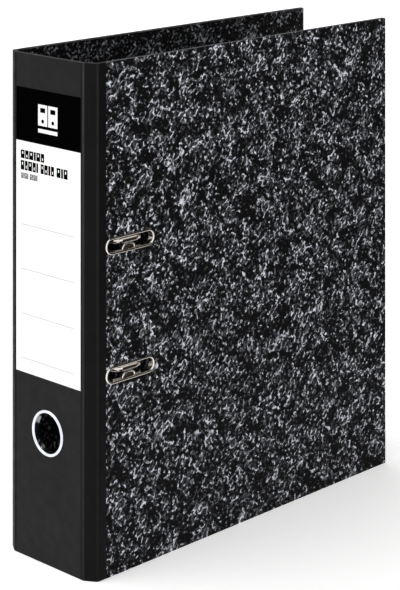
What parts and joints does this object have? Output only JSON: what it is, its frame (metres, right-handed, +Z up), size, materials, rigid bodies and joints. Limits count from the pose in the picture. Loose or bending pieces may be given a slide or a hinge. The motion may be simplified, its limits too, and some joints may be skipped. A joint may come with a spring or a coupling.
{
  "type": "lever arch file",
  "caption": "Tall stiff-board ring file with a labelled spine, finger ring, slotted front cover and a lever-operated arch mechanism inside.",
  "frame": {"origin": "middle of the closed file's footprint, on the surface it stands on", "axes": "+Z up along the spine's height, the longest side; -Y out of the spine; +X out of the front cover, across the thickness"},
  "size_m": [0.0821, 0.2863, 0.318],
  "materials": {
    "greyboard": "grey pulp board, cut edges",
    "cover_paper": "black paper printed with a pale lilac-grey cloud marbling, satin",
    "lining_paper": "black marbled lining paper, satin",
    "hinge_cloth": "black book cloth, fine weave, creased",
    "spine_paper": "plain dark grey covering, fine emboss",
    "label_paper": "white label paper with a black header and grey rules",
    "bright_nickel": "bright nickel-plated steel, polished",
    "nickel_steel": "nickel-plated pressed steel",
    "spring_steel": "hardened spring steel",
    "black_plastic": "moulded plastic, matt"
  },
  "bodies": {
    "back_cover": {"back_board": "greyboard", "back_cover_paper": "cover_paper", "back_lining": "lining_paper", "base_plate": "nickel_steel", "lower_post": "bright_nickel", "upper_post": "bright_nickel", "lever_pivot_pin": "nickel_steel", "spring_rivet": "nickel_steel", "mount_rivet_1": "nickel_steel", "mount_rivet_2": "nickel_steel", "mount_rivet_3": "nickel_steel", "mount_rivet_4": "nickel_steel"},
    "back_strip": {"back_strip_board": "greyboard", "back_strip_cloth": "hinge_cloth"},
    "spine": {"spine_board": "greyboard", "spine_cloth": "spine_paper", "spine_lining": "lining_paper", "spine_label": "label_paper", "finger_ring": "bright_nickel", "finger_ring_backing": "nickel_steel"},
    "front_strip": {"front_strip_board": "greyboard", "front_strip_cloth": "hinge_cloth"},
    "front_cover": {"front_board": "greyboard", "front_cover_paper": "cover_paper", "front_lining": "lining_paper", "lower_slot_eyelet": "bright_nickel", "upper_slot_eyelet": "bright_nickel", "lower_slot_backing": "nickel_steel", "upper_slot_backing": "nickel_steel"},
    "arch_bow": {"arch_bow": "bright_nickel"},
    "lever": {"lever": "nickel_steel", "roller_pin": "nickel_steel"},
    "roller": {"roller": "nickel_steel"},
    "leaf_spring": {"leaf_spring": "spring_steel"},
    "compressor_bar": {"compressor_bar": "black_plastic"}
  },
  "joints": [
    {"name": "back_strip_fold", "type": "hinge", "parent": "back_cover", "child": "back_strip", "pos_m": [-0.0405, -0.1375, 0.159], "axis": [0, 0, -1], "range_deg": [0, 45]},
    {"name": "spine_fold", "type": "hinge", "parent": "back_strip", "child": "spine", "pos_m": [-0.0325, -0.1425, 0.159], "axis": [0, 0, -1], "range_deg": [0, 45]},
    {"name": "front_strip_fold", "type": "hinge", "parent": "spine", "child": "front_strip", "pos_m": [0.0325, -0.1425, 0.159], "axis": [0, 0, -1], "range_deg": [0, 90]},
    {"name": "front_cover_fold", "type": "hinge", "parent": "front_strip", "child": "front_cover", "pos_m": [0.0405, -0.1375, 0.159], "axis": [0, 0, -1], "range_deg": [0, 90]},
    {"name": "lever_lift", "type": "hinge", "parent": "back_cover", "child": "lever", "pos_m": [-0.0242, -0.1015, 0.164], "axis": [0, 0, 1], "range_deg": [0, 60]},
    {"name": "bow_swing", "type": "hinge", "parent": "back_cover", "child": "arch_bow", "pos_m": [-0.0322, -0.1195, 0.164], "axis": [0, 0, 1], "range_deg": [-18, 0]},
    {"name": "spring_flex", "type": "hinge", "parent": "back_cover", "child": "leaf_spring", "pos_m": [-0.0349, -0.0943, 0.164], "axis": [0, 0, 1], "range_deg": [0, 10.5]},
    {"name": "roller_spin", "type": "hinge", "parent": "lever", "child": "roller", "pos_m": [-0.0252, -0.108, 0.164], "axis": [0, 0, 1], "continuous": true},
    {"name": "compressor_slide", "type": "slide", "parent": "back_cover", "child": "compressor_bar", "axis": [1, 0, 0], "range_m": [0, 0.041]}
  ],
  "couplings": [
    {"joint": "spine_fold", "follows": "back_strip_fold", "ratio": 1},
    {"joint": "front_cover_fold", "follows": "front_strip_fold", "ratio": 1},
    {"joint": "bow_swing", "follows": "lever_lift", "ratio": -0.3},
    {"joint": "spring_flex", "follows": "lever_lift", "ratio": 0.175}
  ]
}
